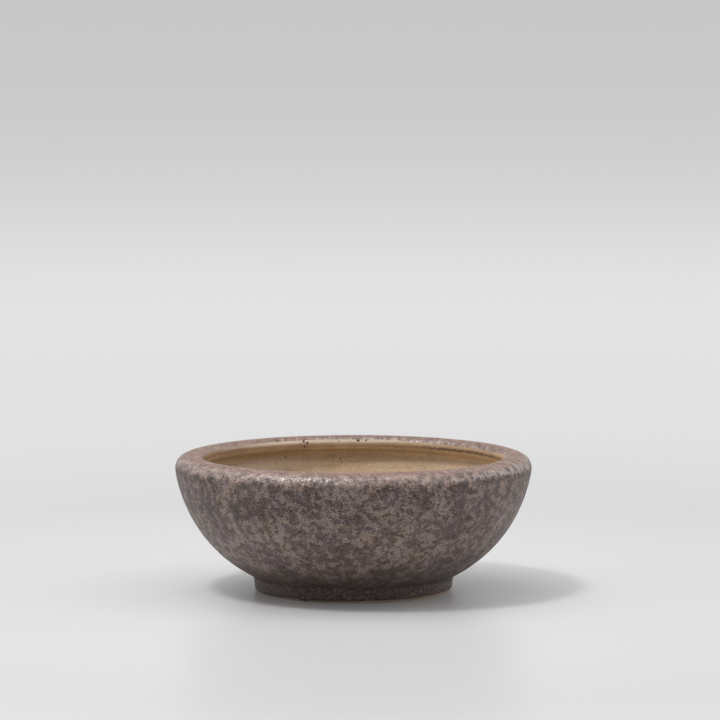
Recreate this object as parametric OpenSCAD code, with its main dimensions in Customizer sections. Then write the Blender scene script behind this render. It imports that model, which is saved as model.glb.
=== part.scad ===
// Small round bonsai pot: a wheel-thrown stoneware bowl on a turned foot ring, glazed
// mauve-brown outside and over the lip, and tan inside. A plastic net held by a bent
// wire clip covers the drain hole. Millimetres, +Z up, origin on the table at the axis.

/* [Bowl] */
// Radius of the pot at its widest, the outside of the lip
rim_r = 65; // [63:0.5:68]
// Height of the pot, table to the top of the lip
pot_h = 50; // [49.8:0.1:50.2]
// Radius of the arc that the outside of the wall follows from foot to lip
belly_r = 51.6; // [51:0.1:52]
// Height of that arc's centre above the table
belly_z = 51.9; // [51.8:0.1:52.1]
// How far past the rim the arc would reach if it went on to its widest point
belly_overrun = 0.5; // [0.45:0.05:0.55]
// Thickness of the wall, coats of glaze included
wall_t = 6.5; // [5.5:0.1:7]
// Height of the inside of the floor
floor_z = 11.4; // [10.5:0.1:12]
// Radius of the bend between floor and wall
heel_r = 14; // [10:1:18]

/* [Lip] */
// Radius of the roll on the outside of the lip
lip_roll_r = 4.5; // [4.4:0.05:4.6]
// Radius of the gentle crown on top of the lip
crown_r = 10; // [9.5:0.1:12]
// Clear radius of the mouth, inside the lip
mouth_r = 54.8; // [54.5:0.1:55.2]
// Radius of the roll on the inside of the lip
lip_edge_r = 2.8; // [2.6:0.1:3]
// Radius of the hollow under the overhanging lip
undercut_r = 2; // [1.5:0.1:2.5]

/* [Foot] */
// Outer radius of the foot ring at the table, over the line of the glaze
foot_r = 35.7; // [34:0.1:36.5]
// How much wider the foot ring is where it runs into the bowl
foot_flare = 1.1; // [0.5:0.1:1.5]
// Inner radius of the foot ring at the table
foot_inner_r = 29.5; // [29:0.1:31]
// Height of the hollow under the floor
hollow_h = 5; // [4.8:0.1:5.6]
// Chamfer of the edges that the pot stands on
foot_chamfer = 0.4; // [0.2:0.1:0.8]

/* [Glaze] */
// Thickness of both coats of glaze
glaze_t = 0.5; // [0.3:0.1:0.8]
// Height of bare clay left at the bottom of the foot ring
bare_h = 0.9; // [0.6:0.1:1.5]
// Where on the lip's inner roll the outer coat meets the inner one, degrees from outward
meet_angle = 145; // [120:1:165]
// Width of bare clay left around each hole in the floor
bare_ring = 0.8; // [0.4:0.1:1]

/* [Holes in the floor] */
// Radius of the drain hole
drain_r = 9; // [8.9:0.1:9.5]
// Radius of the two holes for the tie-down wire
tie_r = 2; // [1.5:0.1:2.2]
// Distance between the centres of those two holes
tie_spacing = 49; // [48:0.5:51]

/* [Drain net and clip] */
// Distance between the net's strands
net_pitch = 3.5; // [3.5:0.1:3.6]
// Width and thickness of one strand
strand = [1, 0.9];
// Number of strands each way
net_count = 12; // [8:2:12]
// Diameter of the clip's wire
wire_d = 1.5; // [1:0.1:1.6]
// Radius of each of the clip's two loops, at the middle of the wire
loop_r = 5; // [4:0.5:5.5]
// Radius of the bends in the legs, at the middle of the wire
bend_r = 1.5; // [1.2:0.1:1.6]
// Length of wire bent outward under the floor on each side, past the bend
toe_len = 9; // [4:1:12]

/* [Hidden] */
$fn = 180;

// Inside radius of the wall, measured from the same centre as the outside
cavity_r = belly_r - wall_t;
// Half-way through the wall, where the two coats are told apart
middle_r = belly_r - wall_t / 2;
// Half-size of the sheets that sections are cut with
reach = 90;
// Height at which the foot ring's outline is buried in the wall above it
foot_top = hollow_h + 2;
// How far helper outlines run on into solid clay
overlap = 2;

// Neighbouring arcs overlap by this much, so that they cross instead of only touching
ease = 0.01;

// Centres of the arcs in the section, as [radius, height]. Each arc runs smoothly into
// the next one, so the outline has no corner between the foot and the floor.
belly = [rim_r - belly_r + belly_overrun, belly_z];
roll_x = rim_r - lip_roll_r;
roll = [roll_x, belly_z - leg(belly_r + ease - lip_roll_r, roll_x - belly.x)];
crown_z = pot_h - crown_r;
crown = [roll.x - leg(crown_r + ease - lip_roll_r, roll.y - crown_z), crown_z];
edge_x = mouth_r + lip_edge_r;
edge = [edge_x, crown_z + leg(crown_r + ease - lip_edge_r, edge_x - crown.x)];
undercut = meet(belly, cavity_r + ease - undercut_r, edge, lip_edge_r + undercut_r - ease);
heel_z = floor_z + heel_r - ease;
heel = [belly.x + leg(cavity_r + ease - heel_r, belly_z - heel_z), heel_z];

// Net and clip: levels and places
net_gap = 0.05;
net_z = floor_z;
net_cross = 0.3;
net_h = 2 * strand.y - net_cross;
wire_z = net_z + net_h + wire_d / 2 + net_gap;
toe_z = hollow_h - wire_d / 2 - net_gap;
leg_x = 2 * net_pitch;
loop_x = leg_x + loop_r;
loop_gap = 1.9;
loop_y = -(bend_r + loop_gap);
bar_y = loop_y + loop_r;

// Remaining side of a right triangle
function leg(hypotenuse, side) = sqrt(hypotenuse ^ 2 - side ^ 2);

// Point at distance ra from a and rb from b, on the lower side
function meet(a, ra, b, rb) =
    let (d = norm(b - a),
         way = atan2(b.y - a.y, b.x - a.x),
         turn = acos((ra ^ 2 + d ^ 2 - rb ^ 2) / (2 * ra * d)))
    a + ra * [cos(way - turn), sin(way - turn)];

// Point on the way from a through b, at distance r from a
function along(a, b, r) = a + r * (b - a) / norm(b - a);

module disc(centre, r) {
    translate(centre) circle(r);
}

// ---------------------------------------------------------------- section of the pot
// Every outline takes a depth: 0 gives the glazed surface, glaze_t the clay below it.

// Foot ring, chamfered where it stands
module foot_outline(depth) {
    outer = foot_r - depth;
    polygon([
        [foot_inner_r + foot_chamfer, 0],
        [outer - foot_chamfer, 0],
        [outer, foot_chamfer],
        [outer + foot_flare, foot_top],
        [foot_inner_r - foot_chamfer, foot_top],
        [foot_inner_r, foot_chamfer]
    ]);
}

// Bowl up to the line where the wall's arc hands over to the lip
module bowl_outline(depth) {
    difference() {
        intersection() {
            disc(belly, belly_r - depth);
            polygon([
                [0, hollow_h],
                [reach, hollow_h],
                along(belly, roll, reach),
                belly,
                [0, belly.y]
            ]);
        }
        intersection() {
            disc(belly, cavity_r + depth);
            translate([0, floor_z - depth]) square([reach, reach]);
        }
    }
}

// Soft bend between floor and wall
module heel_outline(depth) {
    difference() {
        polygon([
            heel,
            [heel.x, floor_z - overlap],
            along(belly, heel, cavity_r + overlap)
        ]);
        disc(heel, heel_r + depth);
    }
}

// Lip: outer roll, crown, inner roll, and the hollow under it
module lip_outline(depth) {
    disc(roll, lip_roll_r - depth);
    disc(edge, lip_edge_r - depth);
    intersection() {
        disc(crown, crown_r - depth);
        polygon([edge, roll, along(crown, roll, reach), along(crown, edge, reach)]);
    }
    difference() {
        polygon([edge, undercut, along(belly, undercut, middle_r), roll]);
        disc(undercut, undercut_r + depth);
    }
}

module pot_outline(depth) {
    foot_outline(depth);
    bowl_outline(depth);
    heel_outline(depth);
    lip_outline(depth);
}

// Everything on the outer coat's side of the clay
module outer_side() {
    difference() {
        translate([0, bare_h]) square([reach, reach]);
        disc(belly, middle_r);
    }
    polygon([
        edge,
        edge + reach * [cos(meet_angle), sin(meet_angle)],
        [reach, reach],
        [reach, roll.y],
        roll
    ]);
}

module coat_outline() {
    difference() {
        pot_outline(0);
        pot_outline(glaze_t);
    }
}

module floor_holes(extra) {
    cylinder(h = pot_h, r = drain_r + extra);
    for (side = [-1, 1])
        translate([side * tie_spacing / 2, 0, 0]) cylinder(h = pot_h, r = tie_r + extra);
}

// ------------------------------------------------------------------------- pieces

module clay_body() {
    color([0.45, 0.36, 0.30])
        difference() {
            rotate_extrude() pot_outline(glaze_t);
            floor_holes(0);
        }
}

module outer_glaze() {
    color([0.40, 0.35, 0.33])
        rotate_extrude()
            intersection() {
                coat_outline();
                outer_side();
            }
}

module inner_glaze() {
    color([0.58, 0.46, 0.34])
        difference() {
            rotate_extrude()
                difference() {
                    coat_outline();
                    outer_side();
                    // the coat on the outside of the bare foot
                    square([reach, hollow_h]);
                }
            floor_holes(bare_ring);
        }
}

// One layer of parallel strands, running along X
module strands(z) {
    span = (net_count - 1) * net_pitch;
    for (i = [0 : net_count - 1])
        translate([-(span + strand.x) / 2, i * net_pitch - (span + strand.x) / 2, z])
            cube([span + strand.x, strand.x, strand.y]);
}

module drain_net() {
    color([0.13, 0.14, 0.13]) {
        strands(net_z);
        rotate([0, 0, 90]) strands(net_z + strand.y - net_cross);
    }
}

module wire(length) {
    cylinder(h = length, d = wire_d);
}

// Bend of the wire about the Z axis, from angle 0 on
module wire_bend(radius, angle) {
    rotate_extrude(angle = angle) translate([radius, 0]) circle(d = wire_d);
}

// Right half of the clip, from the middle of its bar to the toe under the floor
module clip_half() {
    leg_low = toe_z + bend_r;
    leg_high = wire_z - bend_r;
    translate([0, bar_y, wire_z]) rotate([0, 90, 0]) wire(loop_x);
    translate([loop_x, loop_y, wire_z]) rotate([0, 0, 180]) wire_bend(loop_r, 270);
    translate([leg_x, loop_y, wire_z]) rotate([-90, 0, 0]) wire(loop_gap);
    translate([leg_x, -bend_r, leg_high]) rotate([90, 0, 90]) wire_bend(bend_r, 90);
    translate([leg_x, 0, leg_low]) wire(leg_high - leg_low);
    translate([leg_x + bend_r, 0, leg_low]) rotate([-90, 0, 180]) wire_bend(bend_r, 90);
    translate([leg_x + bend_r, 0, toe_z]) rotate([0, 90, 0]) wire(toe_len);
}

module net_clip() {
    color([0.72, 0.73, 0.74]) {
        clip_half();
        mirror([1, 0, 0]) clip_half();
    }
}

clay_body();
outer_glaze();
inner_glaze();
drain_net();
net_clip();
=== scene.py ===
import math

import bmesh
import bpy
import numpy as np
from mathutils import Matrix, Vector
from mathutils.geometry import delaunay_2d_cdt


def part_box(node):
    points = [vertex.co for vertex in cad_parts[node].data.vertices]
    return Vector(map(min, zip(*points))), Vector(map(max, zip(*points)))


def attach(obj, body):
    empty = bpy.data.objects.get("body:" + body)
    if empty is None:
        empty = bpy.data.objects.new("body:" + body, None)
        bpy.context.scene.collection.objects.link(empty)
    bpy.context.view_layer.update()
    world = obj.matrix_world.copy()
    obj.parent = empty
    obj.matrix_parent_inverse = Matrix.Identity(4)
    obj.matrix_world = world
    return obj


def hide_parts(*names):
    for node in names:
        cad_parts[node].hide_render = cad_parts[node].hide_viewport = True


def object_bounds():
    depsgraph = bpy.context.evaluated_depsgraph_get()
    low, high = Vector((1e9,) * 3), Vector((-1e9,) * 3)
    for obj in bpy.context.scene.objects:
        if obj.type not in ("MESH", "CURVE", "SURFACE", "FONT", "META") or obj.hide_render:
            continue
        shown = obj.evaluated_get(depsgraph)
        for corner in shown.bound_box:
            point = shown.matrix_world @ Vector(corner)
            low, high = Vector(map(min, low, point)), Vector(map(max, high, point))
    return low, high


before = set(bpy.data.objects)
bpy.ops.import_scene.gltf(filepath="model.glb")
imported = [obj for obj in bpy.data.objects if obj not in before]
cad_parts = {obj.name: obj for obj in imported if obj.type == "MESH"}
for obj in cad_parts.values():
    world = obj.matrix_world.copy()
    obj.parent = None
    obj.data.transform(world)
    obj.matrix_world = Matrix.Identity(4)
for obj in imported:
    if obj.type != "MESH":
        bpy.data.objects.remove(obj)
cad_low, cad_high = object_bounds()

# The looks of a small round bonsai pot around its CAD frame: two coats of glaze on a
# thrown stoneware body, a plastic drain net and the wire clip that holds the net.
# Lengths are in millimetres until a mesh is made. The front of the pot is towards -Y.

MM = 0.001


def node_box(name):
    low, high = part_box(name)
    return np.array(low) / MM, np.array(high) / MM


# ------------------------------------------------------------------ sizes of the pot
RIM_R = (cad_high.x - cad_low.x) / 2 / MM
POT_H = cad_high.z / MM
BOX_R = min(cad_high.y, -cad_low.y) / MM  # radius that stays inside the CAD model's box
NET_LOW, NET_HIGH = node_box("drain_net")
CLIP_LOW, CLIP_HIGH = node_box("net_clip")
FLOOR_Z = NET_LOW[2]

# The arcs of the pot's section, as the CAD model has them
BELLY_R, BELLY_Z, BELLY_OVERRUN = 51.6, 51.9, 0.5
WALL_T = 6.5
HEEL_R = 14.0
LIP_ROLL_R, CROWN_R, LIP_EDGE_R, UNDERCUT_R = 4.5, 10.0, 2.8, 2.0
MOUTH_R = 54.8
FOOT_R, FOOT_FLARE, FOOT_TOP = 35.7, 1.1, 7.0
FOOT_INNER_R, FOOT_CHAMFER = 29.5, 0.4
HOLLOW_H = 5.0
GLAZE_T = 0.5
MEET_ANGLE = math.radians(145)
BARE_H = 0.9

# Holes in the floor: centre x, centre y and radius
DRAIN_HOLE = (0.0, 0.0, 9.0)
TIE_X = 24.5
TIE_HOLES = [(-TIE_X, 0.0, 2.0), (TIE_X, 0.0, 2.0)]
BARE_RING = 0.8


# --------------------------------------------------------------------------- section
def leg(hypotenuse, side):
    """Remaining side of a right triangle."""
    return math.sqrt(hypotenuse**2 - side**2)


def angle_to(a, b):
    return math.atan2(b[1] - a[1], b[0] - a[0])


def arc(centre, radius, start, end):
    """Points along an arc in the section, closer together than any detail."""
    count = max(3, int(abs(end - start) * radius / 0.04))
    angles = np.linspace(start, end, count)
    return np.column_stack([centre[0] + radius * np.cos(angles), centre[1] + radius * np.sin(angles)])


def line(a, b):
    count = max(3, int(math.dist(a, b) / 0.04))
    return np.linspace(a, b, count)


def section_points():
    """The glazed surface's outline, from the foot's outer edge at the table, up the wall,
    over the lip, and down the inside to the middle of the floor."""
    cavity_r = BELLY_R - WALL_T
    belly = (RIM_R - BELLY_R + BELLY_OVERRUN, BELLY_Z)
    roll_x = RIM_R - LIP_ROLL_R
    roll = (roll_x, BELLY_Z - leg(BELLY_R - LIP_ROLL_R, roll_x - belly[0]))
    crown_z = POT_H - CROWN_R
    crown = (roll[0] - leg(CROWN_R - LIP_ROLL_R, roll[1] - crown_z), crown_z)
    edge_x = MOUTH_R + LIP_EDGE_R
    edge = (edge_x, crown_z + leg(CROWN_R - LIP_EDGE_R, edge_x - crown[0]))

    # the hollow under the lip touches the inner wall and the lip's inner roll
    reach_wall, reach_edge = cavity_r - UNDERCUT_R, LIP_EDGE_R + UNDERCUT_R
    span = math.dist(belly, edge)
    turn = math.acos((reach_wall**2 + span**2 - reach_edge**2) / (2 * reach_wall * span))
    way = angle_to(belly, edge) - turn
    undercut = (belly[0] + reach_wall * math.cos(way), belly[1] + reach_wall * math.sin(way))

    heel_z = FLOOR_Z + HEEL_R
    heel = (belly[0] + leg(cavity_r - HEEL_R, BELLY_Z - heel_z), heel_z)

    corner_z = HOLLOW_H
    for _ in range(8):
        corner_r = FOOT_R + FOOT_FLARE * corner_z / FOOT_TOP
        corner_z = BELLY_Z - leg(BELLY_R, corner_r - belly[0])
    corner = (corner_r, corner_z)

    to_undercut = angle_to(edge, undercut) % (2 * math.pi)
    pieces = [
        line((FOOT_R, 0.0), corner),
        arc(belly, BELLY_R, angle_to(belly, corner), angle_to(belly, roll)),
        arc(roll, LIP_ROLL_R, angle_to(belly, roll), angle_to(crown, roll)),
        arc(crown, CROWN_R, angle_to(crown, roll), angle_to(crown, edge)),
        arc(edge, LIP_EDGE_R, angle_to(crown, edge), to_undercut),
        arc(undercut, UNDERCUT_R, to_undercut - math.pi, way),
        arc(belly, cavity_r, way, angle_to(belly, heel)),
        arc(heel, HEEL_R, angle_to(belly, heel), -math.pi / 2),
        line((heel[0], FLOOR_Z), (0.0, FLOOR_Z)),
    ]
    points = [pieces[0]] + [piece[1:] for piece in pieces[1:]]
    meet = (edge[0] + LIP_EDGE_R * math.cos(MEET_ANGLE), edge[1] + LIP_EDGE_R * math.sin(MEET_ANGLE))
    return np.vstack(points), meet


class Outline:
    """The section as a function of the distance travelled along it, with normals."""

    STEP = 0.04
    SOFTEN = 0.3  # corners are softened over about this distance, as glaze does

    def __init__(self):
        raw, meet = section_points()
        gone = np.concatenate([[0], np.cumsum(np.hypot(*np.diff(raw, axis=0).T))])
        self.s = np.arange(0, gone[-1], self.STEP)
        even = np.column_stack([np.interp(self.s, gone, raw[:, k]) for k in (0, 1)])
        self.rz = self.softened(even)
        slope = np.gradient(self.rz, self.STEP, axis=0)
        normal = np.column_stack([slope[:, 1], -slope[:, 0]])
        self.normal = normal / np.linalg.norm(normal, axis=1)[:, None]
        self.length = self.s[-1]
        self.meet = self.nearest(meet)

    def softened(self, points):
        reach = int(4 * self.SOFTEN / self.STEP)
        offsets = np.arange(-reach, reach + 1) * self.STEP
        kernel = np.exp(-0.5 * (offsets / self.SOFTEN) ** 2)
        kernel /= kernel.sum()
        before = 2 * points[0] - points[reach:0:-1]
        after = 2 * points[-1] - points[-2 : -reach - 2 : -1]
        padded = np.vstack([before, points, after])
        return np.column_stack([np.convolve(padded[:, k], kernel, "valid") for k in (0, 1)])

    def nearest(self, point):
        return self.s[np.argmin(np.hypot(*(self.rz - point).T))]

    def at_radius(self, radius):
        """Distance along the outline where the floor has this radius."""
        floor = self.s > self.meet + 30
        return self.s[floor][np.argmin(abs(self.rz[floor, 0] - radius))]

    def at(self, s):
        """Radius, height and the normal's two parts at distance s."""
        return [np.interp(s, self.s, column) for column in (*self.rz.T, *self.normal.T)]


outline = Outline()


# ----------------------------------------------------------------------------- noise
def lattice_noise(points, size, seed):
    """Smooth random values from about -1 to 1, with features of the given size."""
    p = np.asarray(points, float) / size + 1000.0
    cell = np.floor(p).astype(np.int64)
    f = p - cell
    fade = f * f * f * (f * (f * 6 - 15) + 10)
    total = np.zeros(len(p))
    for corner in range(8):
        step = np.array([corner & 1, corner >> 1 & 1, corner >> 2 & 1])
        grid = cell + step
        h = grid[:, 0] * 73856093 ^ grid[:, 1] * 19349663 ^ grid[:, 2] * 83492791 ^ seed * 2654435761
        h = (h ^ h >> 15) * 2246822519 & 0xFFFFFFFF
        h = (h ^ h >> 13) * 3266489917 & 0xFFFFFFFF
        h ^= h >> 16
        angle = (h & 0xFFFF) / 65536 * 2 * math.pi
        rise = (h >> 16 & 0xFFFF) / 32768 - 1
        flat = np.sqrt(1 - rise**2)
        gradient = np.column_stack([flat * np.cos(angle), flat * np.sin(angle), rise])
        weight = np.prod(np.where(step == 1, fade, 1 - fade), axis=1)
        total += weight * np.sum(gradient * (f - step), axis=1)
    return total * 1.7


def smoothstep(low, high, value):
    t = np.clip((value - low) / (high - low), 0, 1)
    return t * t * (3 - 2 * t)


def on_circle(theta, size, seed):
    """Noise that closes on itself round the pot."""
    points = np.column_stack([np.cos(theta), np.sin(theta), np.zeros_like(theta)])
    return lattice_noise(points, size, seed)


# ---------------------------------------------------------------------------- relief
# Iron specks in the tan glaze at the back: x, height and radius
IRON_SPECKS = [
    (-18.7, 48.4, 0.46), (-17.3, 47.8, 0.46), (-18.4, 46.4, 0.42), (-5.4, 48.2, 0.28), (1.7, 48.4, 0.56),
    (4.6, 48.5, 0.42), (-7.3, 42.4, 0.30), (-5.1, 41.3, 0.30), (-4.5, 40.0, 0.26), (-25.4, 42.6, 0.32),
]

RELIEF_LIMIT = 0.22  # hollows and bumps of the glaze stay within this


def outer_relief(points):
    """Height of the mauve glaze over its mean: hand-thrown unevenness, a pebbly skin on
    the wall, short wrinkles below the lip, and a calmer surface on lip and foot."""
    z = points[:, 2]
    warp = np.column_stack([lattice_noise(points, 3.5, seed) for seed in (11, 12, 13)])
    bent = points + 1.1 * warp
    hand = 0.055 * lattice_noise(points * [1, 1, 1.6], 26, 1) + 0.03 * lattice_noise(points, 11, 2)
    pebbles = 0.055 * lattice_noise(bent, 3.4, 3) + 0.045 * lattice_noise(bent, 1.7, 4)
    wrinkles = 0.10 * (0.35 - abs(lattice_noise(bent, 2.3, 5)))
    textured = smoothstep(6.5, 15, z) * (1 - 0.70 * smoothstep(48.6, 49.6, z))
    shoulder = smoothstep(36, 43, z) * (1 - smoothstep(48.2, 49.3, z))
    return hand + textured * pebbles + (0.40 * textured + 1.1 * shoulder) * wrinkles


def inner_relief(points):
    """Height of the tan glaze: soft throwing rings left by the potter's fingers."""
    radius = np.hypot(points[:, 0], points[:, 1])
    down_the_wall = np.column_stack([points[:, 0] / 40, points[:, 1] / 40, points[:, 2] - 0.3 * radius])
    rings = 0.05 * lattice_noise(down_the_wall, 2.6, 21) + 0.03 * lattice_noise(down_the_wall, 1.1, 22)
    hand = 0.05 * lattice_noise(points, 18, 23)
    return rings + hand + 0.012 * lattice_noise(points, 1.8, 24)


def glaze_relief(points, s):
    """One relief for both coats, so that they are flush where they meet."""
    inside = smoothstep(outline.meet - 1.5, outline.meet + 1.5, s)
    height = outer_relief(points) * (1 - inside) + inner_relief(points) * inside
    return np.clip(height, -RELIEF_LIMIT, RELIEF_LIMIT)


def boxed(points):
    """Points brought back inside the pot's own width and height."""
    radius = np.hypot(points[..., 0], points[..., 1])
    shrink = np.minimum(1, BOX_R / np.maximum(radius, 1e-9))
    points = points * np.stack([shrink, shrink, np.ones_like(shrink)], axis=-1)
    points[..., 2] = points[..., 2].clip(0, POT_H)
    return points


# ---------------------------------------------------------------------- mesh building
class Build:
    """Collects rings, plates and the faces between them into one closed mesh."""

    def __init__(self):
        self.points = []
        self.faces = []
        self.count = 0

    def add(self, points):
        points = np.asarray(points, float).reshape(-1, 3)
        ids = np.arange(self.count, self.count + len(points))
        self.points.append(points)
        self.count += len(points)
        return ids

    def bridge(self, a, b):
        """Quads between two closed rings of the same length."""
        a2, b2 = np.roll(a, -1), np.roll(b, -1)
        self.faces += np.column_stack([a, a2, b2, b]).tolist()

    def rings(self, points):
        """Bridged rings from points[row, spoke]; returns the first and the last ring."""
        ids = self.add(points).reshape(points.shape[:2])
        for a, b in zip(ids[:-1], ids[1:]):
            self.bridge(a, b)
        return ids[0], ids[-1]

    def finish(self, name, material, smooth_angle=40):
        mesh = bpy.data.meshes.new(name)
        mesh.from_pydata((np.vstack(self.points) * MM).tolist(), [], self.faces)
        work = bmesh.new()
        work.from_mesh(mesh)
        bmesh.ops.remove_doubles(work, verts=work.verts, dist=1e-7)
        bmesh.ops.recalc_face_normals(work, faces=work.faces)
        work.to_mesh(mesh)
        work.free()
        return dressed(name, mesh, material, smooth_angle)


def dressed(name, mesh, material, smooth_angle):
    """An object of the mesh in the scene, smooth except at edges sharper than the angle."""
    piece = bpy.data.objects.new(name, mesh)
    bpy.context.scene.collection.objects.link(piece)
    mesh.shade_smooth()
    mesh.set_sharp_from_angle(angle=math.radians(smooth_angle))
    mesh.materials.append(material)
    return piece


def spokes(count):
    return np.linspace(0, 2 * math.pi, count, endpoint=False)


def lathe(s, theta, depth):
    """Surface points [row, spoke] at distance s along the outline, sunk below it by depth."""
    s, theta, depth = np.broadcast_arrays(s, theta, depth)
    r, z, nr, nz = outline.at(s)
    r, z = r - depth * nr, z - depth * nz
    return np.stack([r * np.cos(theta), r * np.sin(theta), z], axis=-1)


def glazed(s, theta, sunk=0.0):
    """Surface points of the glaze with its relief, sunk by a depth that may vary."""
    flat = lathe(s, theta, 0.0)
    where = np.broadcast_to(s, flat.shape[:2])
    height = glaze_relief(flat.reshape(-1, 3), where.ravel()).reshape(flat.shape[:2])
    return boxed(lathe(s, theta, sunk - height))


def circle(centre_x, centre_y, radius, count):
    angles = spokes(count)
    return np.column_stack([centre_x + radius * np.cos(angles), centre_y + radius * np.sin(angles)])


def pierced_plate(rim, holes, spacing):
    """Triangulates the disc inside the rim, less round holes. Returns the points, the
    triangles, the rim's ids and each hole's ids."""
    loops = [rim] + [circle(x, y, r, max(36, int(2 * math.pi * r / 0.45))) for x, y, r in holes]
    points, edges, ids = [], [], []
    for loop in loops:
        first = len(points)
        points += loop.tolist()
        own = list(range(first, len(points)))
        ids.append(own)
        edges += list(zip(own, own[1:] + own[:1]))
    rim_r = np.hypot(*rim[0])
    for row in range(1, int(rim_r / spacing)):
        radius = rim_r - row * spacing
        count = max(6, int(2 * math.pi * radius / spacing))
        for x, y in circle(0, 0, radius, count):
            if all(math.hypot(x - hx, y - hy) > hr + 0.55 * spacing for hx, hy, hr in holes):
                points.append([x, y])
    found = delaunay_2d_cdt([Vector(p) for p in points], edges, [], 0, 1e-7)
    new_xy, triangles, origins = np.array([list(v) for v in found[0]]), found[2], found[3]
    place = {old: new for new, olds in enumerate(origins) for old in olds}
    middle = [new_xy[list(t)].mean(axis=0) for t in triangles]
    kept = [
        list(t)
        for t, m in zip(triangles, middle)
        if all(math.hypot(m[0] - x, m[1] - y) > r * 0.995 for x, y, r in holes)
    ]
    return new_xy, kept, [place[i] for i in ids[0]], [[place[i] for i in loop] for loop in ids[1:]]


# ---------------------------------------------------------------------- shader helpers
class Nodes:
    """Short names for the shader nodes used here."""

    def __init__(self, tree):
        self.tree = tree

    def node(self, kind, **settings):
        node = self.tree.nodes.new(kind)
        for key, value in settings.items():
            setattr(node, key, value)
        return node

    def put(self, socket, value):
        if isinstance(value, bpy.types.NodeSocket):
            self.tree.links.new(value, socket)
        elif value is not None:
            socket.default_value = value

    def vector(self, operation, a, b=None, scale=None):
        node = self.node("ShaderNodeVectorMath", operation=operation)
        self.put(node.inputs[0], a)
        if b is not None:
            self.put(node.inputs[1], b)
        if scale is not None:
            self.put(node.inputs["Scale"], scale)
        return node.outputs["Value" if operation in ("DISTANCE", "DOT_PRODUCT") else "Vector"]

    def split(self, vector):
        node = self.node("ShaderNodeSeparateXYZ")
        self.put(node.inputs[0], vector)
        return node.outputs

    def math(self, operation, a, b=None):
        node = self.node("ShaderNodeMath", operation=operation)
        self.put(node.inputs[0], a)
        self.put(node.inputs[1], b)
        return node.outputs[0]

    def add(self, *terms):
        total = terms[0]
        for term in terms[1:]:
            total = self.math("ADD", total, term)
        return total

    def times(self, a, b):
        return self.math("MULTIPLY", a, b)

    def noise(self, scale, detail=2.0, roughness=0.5, at=None, kind="fac"):
        node = self.node("ShaderNodeTexNoise")
        self.put(node.inputs["Vector"], self.mm if at is None else at)
        self.put(node.inputs["Scale"], scale)
        self.put(node.inputs["Detail"], detail)
        self.put(node.inputs["Roughness"], roughness)
        return node.outputs["Color" if kind == "color" else 0]

    def signed(self, value, amount):
        """Noise centred on zero, times an amount."""
        return self.times(self.math("SUBTRACT", value, 0.5), amount)

    def cells(self, scale, at=None):
        """Distance from the nearest of many scattered points, in units of their spacing."""
        node = self.node("ShaderNodeTexVoronoi")
        self.put(node.inputs["Vector"], self.mm if at is None else at)
        self.put(node.inputs["Scale"], scale)
        return node.outputs["Distance"]

    def ramp(self, value, low, high, out_low=0.0, out_high=1.0):
        """Smooth rise from out_low to out_high as value goes from low to high."""
        node = self.node("ShaderNodeMapRange", interpolation_type="SMOOTHSTEP")
        limits = {"From Min": low, "From Max": high, "To Min": out_low, "To Max": out_high}
        for name, number in limits.items():
            self.put(node.inputs[name], number)
        self.put(node.inputs["Value"], value)
        return node.outputs[0]

    def band(self, value, low, high, soft):
        """1 between low and high, falling to 0 over soft on both sides."""
        rise = self.ramp(value, low - soft, low + soft)
        return self.times(rise, self.ramp(value, high - soft, high + soft, 1, 0))

    def colours(self, value, stops, between="EASE"):
        """Colour that goes through the stops, given as positions and colours."""
        node = self.node("ShaderNodeValToRGB")
        ramp = node.color_ramp
        ramp.interpolation = between
        while len(ramp.elements) < len(stops):
            ramp.elements.new(0.5)
        for element, (position, colour) in zip(ramp.elements, stops):
            element.position = position
            element.color = (*colour, 1)
        self.put(node.inputs[0], value)
        return node.outputs[0]

    def mix(self, factor, a, b, blend="MIX"):
        node = self.node("ShaderNodeMix", data_type="RGBA", blend_type=blend, clamp_factor=True)
        self.put(node.inputs["Factor"], factor)
        for socket, value in ((node.inputs[6], a), (node.inputs[7], b)):
            self.put(socket, (*value, 1) if isinstance(value, tuple) else value)
        return node.outputs[2]


class Shader(Nodes):
    """A material in the making. Places are in millimetres and scales per millimetre."""

    def __init__(self, name):
        self.material = bpy.data.materials.new(name)
        self.material.use_nodes = True
        super().__init__(self.material.node_tree)
        self.surface = self.tree.nodes["Principled BSDF"]
        coords = self.tree.nodes.new("ShaderNodeTexCoord")
        self.mm = self.vector("SCALE", coords.outputs["Object"], scale=1 / MM)
        self.x, self.y, self.z = self.split(self.mm)

    def warped(self, size, amount):
        """The place in millimetres, pushed about by noise of the given feature size."""
        push = self.vector("SUBTRACT", self.noise(1 / size, 2, 0.5, kind="color"), (0.5, 0.5, 0.5))
        return self.vector("ADD", self.mm, self.vector("SCALE", push, scale=amount))

    def bump(self, height, distance_mm):
        node = self.node("ShaderNodeBump")
        self.put(node.inputs["Height"], height)
        self.put(node.inputs["Distance"], distance_mm * MM)
        self.put(node.inputs["Strength"], 1.0)
        for name in ("Normal", "Coat Normal"):
            self.put(self.surface.inputs[name], node.outputs[0])

    def set(self, **sockets):
        for name, value in sockets.items():
            self.put(self.surface.inputs[name.replace("_", " ")], value)
        return self.material


# --------------------------------------------------------------------------- materials
def inner_spot(x, z):
    """Point of the back inner wall or lip at this x and height."""
    inner = (outline.s > outline.meet) & (outline.rz[:, 0] > 45)
    radius = outline.rz[inner, 0][np.argmin(abs(outline.rz[inner, 1] - z))]
    return (x, math.sqrt(radius**2 - x**2), z)


def specks(m, spots, place):
    """1 inside every spot, given as its centre and its radius in millimetres."""
    total = 0.0
    for centre, radius in spots:
        away = m.vector("DISTANCE", place, centre)
        total = m.math("MAXIMUM", total, m.ramp(away, radius * 0.7, radius * 1.25, 1, 0))
    return total


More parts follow.
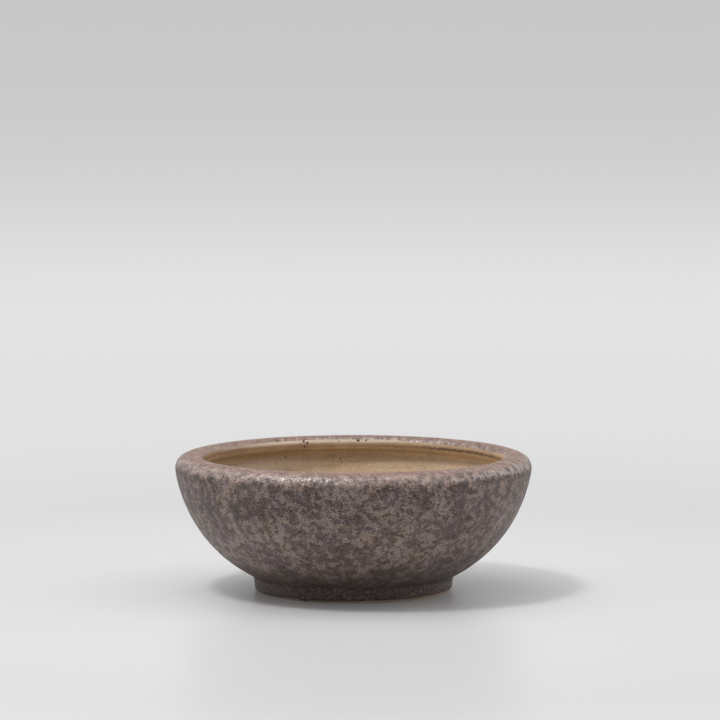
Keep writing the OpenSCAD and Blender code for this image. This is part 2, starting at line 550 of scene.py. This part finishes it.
def mauve_glaze():
    """Satin-matte glaze: grey-beige blotches over purplish brown, with a broken network of
    dark specks; pinker, smoother and glossier on the lip, dark and calm at the foot."""
    m = Shader("mauve_glaze")
    place = m.warped(3.0, 2.0)
    fine_place = m.warped(1.3, 0.9)
    regions = m.noise(0.10, 2, 0.5)
    hue = m.noise(0.16, 3, 0.6, m.warped(5.0, 3.0))
    blots = m.noise(0.40, 4, 0.62, place)
    grain = m.noise(2.2, 3, 0.85)
    net = m.noise(1.10, 3, 0.70, fine_place)
    worms = m.noise(0.75, 2, 0.5, m.warped(1.8, 1.6))
    worm_lines = m.ramp(m.math("ABSOLUTE", m.math("SUBTRACT", worms, 0.5)), 0.0, 0.045, 1, 0)

    light = m.ramp(m.add(blots, m.signed(regions, 0.30), m.signed(grain, 0.22)), 0.485, 0.560)
    dark = m.ramp(m.add(net, m.signed(hue, -0.30), m.signed(blots, 0.35)), 0.375, 0.455, 1, 0)
    shoulder = m.band(m.z, 30.0, 47.5, 5.0)
    value = m.add(
        0.36,
        m.times(light, 0.25),
        m.times(dark, -0.29),
        m.times(m.times(worm_lines, shoulder), -0.20),
        m.signed(grain, 1.65),
        m.signed(regions, 0.35),
    )
    wall = m.colours(value, [
        (0.00, (0.050, 0.034, 0.031)),
        (0.28, (0.110, 0.077, 0.068)),
        (0.50, (0.193, 0.144, 0.124)),
        (0.75, (0.330, 0.262, 0.226)),
        (1.00, (0.490, 0.408, 0.350)),
    ])
    warm = m.ramp(hue, 0.40, 0.60)
    wall = m.mix(m.times(warm, 0.50), wall, (1.00, 0.86, 0.70), "MULTIPLY")
    cool = m.ramp(hue, 0.58, 0.42)
    wall = m.mix(m.times(cool, 0.75), wall, (0.95, 0.90, 1.00), "MULTIPLY")
    lip_tone = m.colours(m.add(0.5, m.signed(blots, 1.0), m.signed(grain, 0.9), m.times(dark, -0.12)), [
        (0.15, (0.140, 0.075, 0.058)),
        (0.50, (0.250, 0.146, 0.112)),
        (0.85, (0.600, 0.415, 0.330)),
    ])
    lip = m.ramp(m.add(m.z, m.signed(blots, 13.0), m.signed(net, 8.0)), 45.2, 48.4)
    colour = m.mix(lip, wall, lip_tone)
    low = m.ramp(m.add(m.z, m.signed(regions, 9.0), m.signed(blots, 4.0)), 6.5, 17.0, 1, 0)
    colour = m.mix(m.times(low, 0.66), colour, (0.070, 0.051, 0.039))
    foot_value = m.add(0.5, m.signed(grain, 1.4), m.signed(net, 1.5))
    foot_tone = m.colours(foot_value, [
        (0.15, (0.018, 0.010, 0.009)),
        (0.50, (0.056, 0.036, 0.031)),
        (0.85, (0.260, 0.190, 0.162)),
    ])
    foot = m.ramp(m.add(m.z, m.signed(blots, 1.5)), 5.0, 6.8, 1, 0)
    colour = m.mix(m.times(foot, 0.85), colour, foot_tone)
    colour = m.mix(specks(m, [((13.6, -58.4, 49.6), 0.5)], fine_place), colour, (0.06, 0.025, 0.03))

    calm = m.ramp(m.z, 45.0, 48.0)
    rounding = m.band(m.z, 46.2, 49.2, 0.8)
    rough = m.add(0.48, m.signed(grain, 0.25), m.times(m.signed(blots, -0.5), calm), m.times(calm, -0.08))
    swell = m.noise(0.55, 2, 0.5, place)
    coarse = m.math("SUBTRACT", 1.0, m.times(calm, 0.8))
    height = m.add(
        m.times(blots, 0.5),
        m.times(m.add(m.times(grain, 0.35), m.times(dark, -0.25)), coarse),
        m.times(m.times(worm_lines, shoulder), -0.50),
        m.times(m.times(swell, m.band(m.z, 44.5, 49.4, 1.0)), 2.4),
    )
    m.bump(height, 0.28)
    shine = m.add(0.5, m.times(rounding, 0.5))
    patches = m.ramp(m.add(blots, m.signed(net, 0.7), m.times(worm_lines, -0.10)), 0.38, 0.56, 0.08, 1.0)
    m.set(Coat_Weight=m.times(rounding, patches), Coat_Roughness=0.34, Coat_IOR=1.85)
    return m.set(Base_Color=colour, Roughness=rough, IOR=1.5, Specular_IOR_Level=shine)


def tan_glaze():
    """Satin tan glaze with faint throwing lines, cloudy tone and a few iron specks, with painted shade
    under the lip and on the left and a painted highlight at the back.
    """
    m = Shader("tan_glaze")
    lines_at = m.node("ShaderNodeMapping")
    m.put(lines_at.inputs["Vector"], m.mm)
    m.put(lines_at.inputs["Scale"], (0.035, 0.035, 1.0))
    lines = m.noise(0.9, 4, 0.65, lines_at.outputs[0])
    clouds = m.noise(0.09, 3, 0.6)
    grain = m.noise(1.3, 3, 0.75)
    value = m.add(0.5, m.signed(lines, 0.85), m.signed(clouds, 0.6), m.signed(grain, 1.3))
    colour = m.colours(value, [
        (0.15, (0.455, 0.318, 0.200)),
        (0.50, (0.655, 0.490, 0.325)),
        (0.85, (0.800, 0.640, 0.460)),
    ])
    # painted shade: darker in the hollow under the lip, on the lip's inner roll and on the left of the
    # inside, where the lip and the wall shade the glaze
    hollow = m.band(m.add(m.z, m.signed(clouds, 3.0)), 40.5, 46.4, 1.8)
    hollow = m.times(hollow, m.ramp(m.x, 0.0, 50.0, 0.95, 0.55))
    colour = m.mix(hollow, colour, (0.66, 0.63, 0.60), "MULTIPLY")
    # painted shade over the left of the inside, which the rim keeps from the light
    painted_left_shade = m.ramp(m.add(m.x, m.signed(clouds, 30.0)), -58.0, 5.0, 0.80, 0.0)
    colour = m.mix(painted_left_shade, colour, (0.68, 0.64, 0.62), "MULTIPLY")
    # painted shade on the inner roll, strongest on the left
    roll = m.times(m.ramp(m.z, 46.0, 47.2), m.ramp(m.x, -45.0, -10.0, 1.0, 0.55))
    colour = m.mix(roll, colour, (0.66, 0.58, 0.52), "MULTIPLY")
    # a thin brown line low on the inner roll on the right, and a painted highlight: a pale line on the
    # roll at the back
    brown_line_right = m.band(m.add(m.z, m.signed(m.noise(0.5, 2), 1.2)), 45.9, 46.9, 0.35)
    brown_line_right = m.times(brown_line_right, m.ramp(m.add(m.x, m.signed(clouds, 60.0)), 5.0, 40.0, 0.15, 0.85))
    colour = m.mix(brown_line_right, colour, (0.110, 0.060, 0.035))
    # painted highlight: the glaze is made paler along the top of the roll at the back, where the overhead
    # light glints
    painted_highlight_line = m.ramp(m.add(m.z, m.signed(clouds, 0.8)), 47.3, 48.1)
    painted_highlight_line = m.times(painted_highlight_line, m.band(m.x, -36.0, 22.0, 14.0))
    colour = m.mix(m.times(painted_highlight_line, 0.75), colour, (0.88, 0.74, 0.60))
    place = m.warped(1.0, 0.35)
    spots = [(inner_spot(x, z), size) for x, z, size in IRON_SPECKS]
    colour = m.mix(specks(m, spots, place), colour, (0.045, 0.024, 0.020))
    few = m.times(m.ramp(m.cells(0.30, place), 0.05, 0.11, 1, 0), m.ramp(m.noise(0.22), 0.57, 0.62))
    colour = m.mix(m.times(few, 0.8), colour, (0.080, 0.045, 0.030))
    m.bump(m.add(m.times(lines, 0.7), m.times(grain, 0.3)), 0.05)
    rough = m.add(0.33, m.signed(grain, 0.15))
    return m.set(Base_Color=colour, Roughness=rough, IOR=1.5)


def bare_clay():
    """Unglazed stoneware: fine grog, iron freckles, turning marks."""
    m = Shader("bare_clay")
    grain = m.noise(2.5, 4, 0.7)
    clouds = m.noise(0.12, 3, 0.5)
    value = m.add(0.5, m.signed(grain, 0.7), m.signed(clouds, 0.6))
    colour = m.colours(value, [
        (0.20, (0.250, 0.180, 0.130)),
        (0.50, (0.400, 0.310, 0.240)),
        (0.80, (0.520, 0.430, 0.350)),
    ])
    freckle = m.ramp(m.cells(1.3), 0.10, 0.22, 1, 0)
    freckle = m.times(freckle, m.ramp(m.noise(0.5), 0.5, 0.6))
    colour = m.mix(m.times(freckle, 0.7), colour, (0.090, 0.055, 0.040))
    m.bump(grain, 0.12)
    return m.set(Base_Color=colour, Roughness=m.add(0.82, m.signed(grain, 0.2)), IOR=1.45)


def net_plastic():
    """Black polyethylene: slightly waxy, with dust in the grain."""
    m = Shader("net_plastic")
    grain = m.noise(3.0, 3, 0.6)
    dust = m.ramp(m.noise(0.6, 3, 0.6), 0.52, 0.75)
    colour = m.mix(m.times(dust, 0.35), (0.012, 0.013, 0.012), (0.085, 0.078, 0.070))
    m.bump(grain, 0.03)
    return m.set(Base_Color=colour, Roughness=m.add(0.42, m.signed(grain, 0.3)), IOR=1.5)


def drawn_wire():
    """Aluminium wire with a dull drawn skin and small scuffs."""
    m = Shader("drawn_wire")
    streaks = m.noise(2.2, 4, 0.7, m.warped(6.0, 1.5))
    scuffs = m.ramp(m.noise(0.9, 4, 0.75), 0.55, 0.7)
    colour = m.mix(scuffs, (0.60, 0.60, 0.61), (0.42, 0.42, 0.43))
    m.bump(streaks, 0.03)
    rough = m.add(0.30, m.signed(streaks, 0.2), m.times(scuffs, 0.2))
    return m.set(Base_Color=colour, Metallic=1.0, Roughness=rough)


# ------------------------------------------------------------------------------ pieces
CLAY_SPOKES = 360
OUTER_SPOKES = 700
INNER_SPOKES = 480
OUTER_ROW, INNER_ROW, CLAY_ROW, BACK_ROW = 0.64, 0.75, 1.6, 4.0  # spacing of rows
TUCK = 0.04  # the back of each coat is sunk this far into the clay behind it


def glaze_edge(theta):
    """Distance from the table at which the outer coat ends: a wavy line that runs low on
    the left and leaves a strip of bare clay on the right."""
    front = -math.pi / 2
    low_side = 0.5 - 0.5 * np.cos(theta)
    bead_at = front - 0.52
    apart = (theta - bead_at + math.pi) % (2 * math.pi) - math.pi
    bead = 0.35 * np.exp(-((apart / 0.05) ** 2))
    return BARE_H + 0.05 - 0.45 * low_side + 0.16 * on_circle(theta, 0.35, 31) - bead


def meeting_line(theta):
    """Distance along the outline at which the outer coat hands over to the inner one: a
    wandering line that reaches further in at the back right."""
    back_right = np.exp(-(((theta - 0.75) / 0.45) ** 2))
    return outline.meet + 0.25 * on_circle(theta, 0.22, 32) + 0.8 * back_right


def rows_between(start, end, spacing, fine=()):
    """Row positions from start to end for every spoke, with extra fine rows at the start."""
    length = float(np.mean(end - start))
    even = np.linspace(max(fine, default=0) + spacing, length, int(length / spacing))
    marks = np.concatenate([[0.0], fine, even]) / length
    return start + marks[:, None] * (end - start)


def outer_coat(material):
    theta = spokes(OUTER_SPOKES)
    start, end = glaze_edge(theta), meeting_line(theta)
    s = rows_between(start, end, OUTER_ROW, (0.06, 0.16, 0.30, 0.48))
    from_edge = s - start
    bead = 0.10 * np.exp(-(((from_edge - 0.9) / 0.5) ** 2))
    round_off = np.sqrt(np.clip(1 - (1 - from_edge / 0.55).clip(0, 1) ** 2, 0, 1))
    front = glazed(s, theta, (1 - round_off) * GLAZE_T - bead * round_off)
    back_s = rows_between(start, end, BACK_ROW)[::-1]
    back = lathe(back_s, theta, GLAZE_T + TUCK)
    build = Build()
    first, last = build.rings(np.concatenate([front, back]))
    build.bridge(last, first)
    piece = build.finish("outer_glaze_coat", material)
    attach(piece, "root")
    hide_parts("outer_glaze")


def inner_coat(material):
    theta = spokes(INNER_SPOKES)
    plate_r = 29.0
    start = meeting_line(theta)
    end = np.full_like(start, outline.at_radius(plate_r))
    s = rows_between(start, end, INNER_ROW)
    build = Build()
    top_edge, rim_top = build.rings(glazed(s, theta))
    back_top, rim_back = build.rings(lathe(rows_between(start, end, 3.0), theta, GLAZE_T + TUCK))
    build.bridge(top_edge, back_top)

    holes = [(x, y, r + BARE_RING) for x, y, r in (DRAIN_HOLE, *TIE_HOLES)]
    softened = [(x, y, r + 0.25) for x, y, r in holes]
    rim = circle(0, 0, plate_r, INNER_SPOKES)
    xy, triangles, rim_ids, hole_ids = pierced_plate(rim, softened, 0.9)
    flat = np.column_stack([xy, np.full(len(xy), FLOOR_Z)])
    lift = glaze_relief(flat, np.full(len(xy), outline.length))
    levels = (FLOOR_Z + lift, np.full(len(xy), FLOOR_Z - GLAZE_T - TUCK))
    plates = []
    for z, ring in zip(levels, (rim_top, rim_back)):
        ids = build.add(np.column_stack([xy, z]))
        ids[rim_ids] = ring
        build.faces += ids[np.array(triangles)].tolist()
        plates.append(ids)
    for (x, y, r), loop in zip(holes, hole_ids):
        edge = circle(x, y, r, len(loop))
        lips = [
            np.column_stack([circle(x, y, r + 0.08, len(loop)), levels[0][loop] - 0.06]),
            np.column_stack([edge, levels[0][loop] - 0.22]),
            np.column_stack([edge, levels[1][loop] + 0.02]),
        ]
        ring = plates[0][loop]
        for points in lips:
            lower = build.add(points)
            build.bridge(ring, lower)
            ring = lower
        build.bridge(ring, plates[1][loop])
    piece = build.finish("inner_glaze_coat", material)
    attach(piece, "root")
    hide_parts("inner_glaze")


def turning_marks(xy, seed):
    """Shallow rings that the turning tool leaves, on a surface across the axis."""
    radius = np.hypot(xy[:, 0], xy[:, 1])
    rings = np.column_stack([radius, xy[:, 0] / 60, xy[:, 1] / 60])
    rough = np.column_stack([xy, np.zeros(len(xy))])
    return 0.06 * lattice_noise(rings, 1.3, seed) + 0.02 * lattice_noise(rough, 0.9, seed + 1)


def stoneware(material):
    theta = spokes(CLAY_SPOKES)
    top_r, under_r = 29.0, 28.2
    build = Build()
    foot_face_outer = FOOT_R - GLAZE_T - FOOT_CHAMFER
    start = np.full_like(theta, FOOT_CHAMFER)
    end = np.full_like(theta, outline.at_radius(top_r))
    body = lathe(rows_between(start, end, CLAY_ROW, (0.3, 0.7, 1.2)), theta, GLAZE_T)

    def ring(radius, z):
        return np.column_stack([circle(0, 0, radius, CLAY_SPOKES), np.full(CLAY_SPOKES, z)])[None]

    foot = [
        (under_r, HOLLOW_H),
        (FOOT_INNER_R - 0.85, HOLLOW_H - 0.12),
        (FOOT_INNER_R - 0.42, HOLLOW_H - 0.5),
        (FOOT_INNER_R - 0.2, HOLLOW_H - 1.6),
        (FOOT_INNER_R - 0.05, 1.2),
        (FOOT_INNER_R, FOOT_CHAMFER),
        (FOOT_INNER_R + 0.12, FOOT_CHAMFER * 0.4),
        (FOOT_INNER_R + FOOT_CHAMFER, 0.0),
        ((FOOT_INNER_R + foot_face_outer) / 2, 0.0),
        (foot_face_outer, 0.0),
        (foot_face_outer + 0.28, FOOT_CHAMFER * 0.3),
    ]
    under_rim, top_rim = build.rings(np.concatenate([ring(*at) for at in foot] + [body]))

    holes = [DRAIN_HOLE, *TIE_HOLES]
    softened = [(x, y, r + 0.3) for x, y, r in holes]
    # the floor's two faces: radius, rim, height, and seed and strength of the turning marks
    faces = (
        (top_r, top_rim, FLOOR_Z - GLAZE_T, 41, 0.3),
        (under_r, under_rim, HOLLOW_H, 43, 1.0),
    )
    loops = []
    for rim_r, rim_ring, z, seed, strength in faces:
        xy, triangles, rim_ids, hole_ids = pierced_plate(circle(0, 0, rim_r, CLAY_SPOKES), softened, 1.0)
        lift = turning_marks(xy, seed) * strength
        ids = build.add(np.column_stack([xy, z + lift]))
        ids[rim_ids] = rim_ring
        build.faces += ids[np.array(triangles)].tolist()
        loops.append([(ids[loop], z + lift[loop]) for loop in hole_ids])
    for (x, y, r), (top, top_z), (under, under_z) in zip(holes, *loops):
        count = len(top)
        ring_ids = top
        for radius, z in (
            (r + 0.09, top_z - 0.09),
            (r, top_z - 0.3),
            (r, (top_z + under_z) / 2),
            (r, under_z + 0.3),
            (r + 0.09, under_z + 0.09),
        ):
            lower = build.add(np.column_stack([circle(x, y, radius, count), z]))
            build.bridge(ring_ids, lower)
            ring_ids = lower
        build.bridge(ring_ids, under)
    piece = build.finish("stoneware_body", material)
    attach(piece, "root")
    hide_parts("clay_body")


def swept(build, path, radius, sides):
    """Closed round bar along a path of points, with slightly rounded ends."""
    path = np.asarray(path, float)
    along = np.gradient(path, axis=0)
    along /= np.linalg.norm(along, axis=1)[:, None]
    side = np.cross(along[0], [0.31, 0.17, 0.93])
    rings = []
    end_rows = ((0.0, 0.55), (0.12, 0.85), (0.3, 1.0))  # shift along and size, in radii
    for k, (point, direction) in enumerate(zip(path, along)):
        side = side - direction * (side @ direction)
        side /= np.linalg.norm(side)
        up = np.cross(direction, side)
        angles = spokes(sides)
        around = np.outer(np.cos(angles), side) + np.outer(np.sin(angles), up)
        rows = [(0.0, 1.0)]
        if k == 0:
            rows = [(shift * radius, size) for shift, size in end_rows]
        elif k == len(path) - 1:
            rows = [(-shift * radius, size) for shift, size in end_rows[::-1]]
        rings += [point + direction * shift + around * radius * size for shift, size in rows]
    first, last = build.rings(np.stack(rings))
    build.faces += [first.tolist(), last[::-1].tolist()]


def drain_net(material):
    """Two layers of strands fused where they cross, as such a net is extruded."""
    count, width = 12, 1.0
    half = (NET_HIGH[0] - NET_LOW[0]) / 2
    places = np.linspace(-half + width / 2, half - width / 2, count)
    run = np.linspace(-half, half, 80)
    build = Build()
    for axis, z in ((0, NET_LOW[2] + width / 2), (1, NET_HIGH[2] - width / 2)):
        for number, place in enumerate(places):
            rows = np.column_stack([run, np.full_like(run, 7.0 * number), np.full_like(run, 50.0 * axis)])
            drift = 0.05 * lattice_noise(rows, 9, 51)
            path = np.column_stack([run, place + drift, np.full_like(run, z)])
            if axis:
                path = path[:, [1, 0, 2]]
            swept(build, path, width / 2, 12)
    piece = build.finish("drain_net_moulded", material, 180)
    fuse = piece.modifiers.new("fuse", "REMESH")
    fuse.mode = "VOXEL"
    fuse.voxel_size = 0.22 * MM
    fuse.use_smooth_shade = True
    soften = piece.modifiers.new("soften", "SMOOTH")
    soften.factor = 0.5
    soften.iterations = 3
    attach(piece, "root")
    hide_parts("drain_net")


def clip_path():
    """Middle of the wire, from the left toe over both loops to the right toe."""
    wire_r, loop_r, bend_r, toe_len = 0.75, 5.0, 1.5, 9.0
    top = CLIP_HIGH[2] - wire_r
    toe_z = CLIP_LOW[2] + wire_r
    bar_y = CLIP_HIGH[1] - wire_r
    loop_y = bar_y - loop_r
    leg_x = CLIP_HIGH[0] - wire_r - 2 * loop_r
    loop_x = leg_x + loop_r
    toe_x = leg_x + bend_r + toe_len
    steps = np.linspace(0, math.pi / 2, 9)
    low = [(leg_x + bend_r * (1 - math.sin(a)), 0, toe_z + bend_r * (1 - math.cos(a))) for a in steps]
    high = [(leg_x, -bend_r * (1 - math.cos(a)), top - bend_r * (1 - math.sin(a))) for a in steps]
    turns = np.linspace(math.pi, 2.5 * math.pi, 40)
    loop = [(loop_x + loop_r * math.cos(a), loop_y + loop_r * math.sin(a), top) for a in turns]
    toe = [(x, 0, toe_z) for x in np.linspace(toe_x, leg_x + bend_r, 12)[:-1]]
    rise = [(leg_x, 0, z) for z in np.linspace(toe_z + bend_r, top - bend_r, 10)[1:-1]]
    bar = [(x, bar_y, top) for x in np.linspace(loop_x, 0, 16)[1:]]
    right = np.array(toe + low + rise + high + loop + bar)
    left = right[:-1] * [-1, 1, 1]
    return np.concatenate([right, left[::-1]]), wire_r


def net_clip(material):
    path, wire_r = clip_path()
    drift = np.column_stack([lattice_noise(path, 12, seed) for seed in (61, 62)])
    path[:, :2] += 0.12 * drift
    build = Build()
    swept(build, path, wire_r, 20)
    piece = build.finish("net_clip_wire", material, 50)
    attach(piece, "root")
    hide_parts("net_clip")


# ------------------------------------------------------------------------------- stage
KEY_POWER, FILL_POWER = 4.0, 1.5
TENT = (0.375, 0.66)  # radiance of the tent low down and above
BANK = 1.35  # extra radiance of a broad bank of light overhead
BANK_TOWARDS, BANK_EDGE = (-0.26, 0.10, 0.96), (30, 17)  # its direction and soft edge in degrees
CAMERA_SIDE = 0.50  # share of it that is left on the camera's side
SIDES = (3.6, 6.0)  # how much brighter it is straight to the left and to the right

# the floor's tone by distance from the pot is painted light and shade
FLOOR_FADE = 6000  # distance from the pot over which the floor's tone changes
FLOOR_HALF = 7.0  # half-size of the floor in metres

FAR_TONE = (0.572, 0.574, 0.590)  # what the eye meets where the floor ends, behind the pot
FAR_SIDE_TONE = (0.634, 0.635, 0.645)  # and to the left or the right of it


def studio_floor():
    """Pale seamless table top, a little glossy. Its tone is painted light and shade that follows how the
    studio light falls across it: darker near the pot and far away, brightest about a metre out.
    """
    m = Shader("studio_floor")
    far = m.math("SQRT", m.add(m.times(m.x, m.x), m.times(m.y, m.y)))
    # painted light and shade: the tone rises and falls with distance as the studio light does on the
    # table
    tone = m.colours(m.math("DIVIDE", far, FLOOR_FADE), [
        (0.015, (0.765, 0.765, 0.767)),
        (0.042, (0.700, 0.700, 0.703)),
        (0.085, (0.815, 0.815, 0.818)),
        (0.176, (0.950, 0.950, 0.955)),
        (0.220, (0.960, 0.960, 0.965)),
        (0.272, (0.920, 0.920, 0.927)),
        (0.334, (0.862, 0.862, 0.870)),
        (0.412, (0.800, 0.800, 0.810)),
        (0.510, (0.758, 0.759, 0.773)),
        (0.640, (0.730, 0.731, 0.748)),
        (1.000, (0.707, 0.708, 0.726)),
    ], "LINEAR")
    material = m.set(Base_Color=tone, Roughness=0.30, IOR=1.45)
    mesh = bpy.data.meshes.new("studio_floor")
    corners = [(x * FLOOR_HALF, y * FLOOR_HALF, 0) for x, y in ((-1, -1), (1, -1), (1, 1), (-1, 1))]
    mesh.from_pydata(corners, [], [(0, 1, 2, 3)])
    mesh.materials.append(material)
    floor = bpy.data.objects.new("studio_floor", mesh)
    bpy.context.scene.collection.objects.link(floor)


def softbox(name, place, size, power):
    """Square lamp that looks at the pot from the given place, in metres."""
    data = bpy.data.lights.new(name, "AREA")
    data.shape = "SQUARE"
    data.size = size
    data.energy = power
    light = bpy.data.objects.new(name, data)
    light.location = place
    light.rotation_mode = "QUATERNION"
    light.rotation_quaternion = (-Vector(place)).to_track_quat("-Z", "Y")
    bpy.context.scene.collection.objects.link(light)


def studio_light():
    """A small key lamp above on the left, a broad fill on the right, and a white tent that
    is brightest above, behind and beside the pot and dim on the camera's side."""
    softbox("key", (-0.37, -0.26, 1.05), 0.16, KEY_POWER)
    softbox("fill", (1.00, 0.10, 1.20), 0.60, FILL_POWER)
    world = bpy.data.worlds.new("studio")
    world.use_nodes = True
    n = Nodes(world.node_tree)
    direction = n.node("ShaderNodeTexCoord").outputs["Generated"]
    x, y, z = n.split(direction)
    above = n.add(n.times(y, 0.45), n.times(z, 0.89))
    left, right = (n.ramp(x, sign * 0.40, sign * 0.95, 0, more) for sign, more in zip((-1, 1), SIDES))
    front = n.ramp(y, -0.45, -0.97, 0, CAMERA_SIDE - 1)
    low_down = n.ramp(z, 0.55, 0.30)
    sides = n.times(n.ramp(z, 0.16, 0.34), n.add(left, right))
    tent = n.times(n.ramp(above, 0.25, 0.95, *TENT), n.add(1.0, n.times(low_down, n.add(sides, front))))
    bank = n.vector("DOT_PRODUCT", direction, BANK_TOWARDS)
    tent = n.add(tent, n.ramp(bank, *(math.cos(math.radians(a)) for a in BANK_EDGE), 0.0, BANK))
    grey = n.node("ShaderNodeCombineColor")
    for socket in grey.inputs[:3]:
        n.put(socket, tent)
    sideways = n.ramp(n.math("ABSOLUTE", x), 0.35, 0.95)
    backdrop = n.mix(sideways, FAR_TONE, FAR_SIDE_TONE)
    seen = n.node("ShaderNodeLightPath").outputs["Is Camera Ray"]
    background = n.tree.nodes["Background"]
    n.put(background.inputs["Color"], n.mix(seen, grey.outputs[0], backdrop))
    bpy.context.scene.world = world


def camera():
    """A long lens a little above the pot, aimed over it."""
    distance = 30 * RIM_R * MM
    elevation = math.radians(7.54)
    aside = 0.0024
    height = POT_H / 2 * MM + distance * math.sin(elevation)
    eye = Vector((aside, -distance * math.cos(elevation), height))
    aim = Vector((aside, 0, 0.0843))
    data = bpy.data.cameras.new("camera")
    data.lens = 266.8
    data.sensor_width = 36
    data.clip_start, data.clip_end = 0.05, 50
    eye_object = bpy.data.objects.new("camera", data)
    eye_object.location = eye
    eye_object.rotation_mode = "QUATERNION"
    eye_object.rotation_quaternion = (aim - eye).to_track_quat("-Z", "Y")
    bpy.context.scene.collection.objects.link(eye_object)
    bpy.context.scene.camera = eye_object


camera()
studio_floor()
studio_light()
bpy.context.scene.view_settings.view_transform = "Standard"

outer_coat(mauve_glaze())
inner_coat(tan_glaze())
stoneware(bare_clay())
drain_net(net_plastic())
net_clip(drawn_wire())
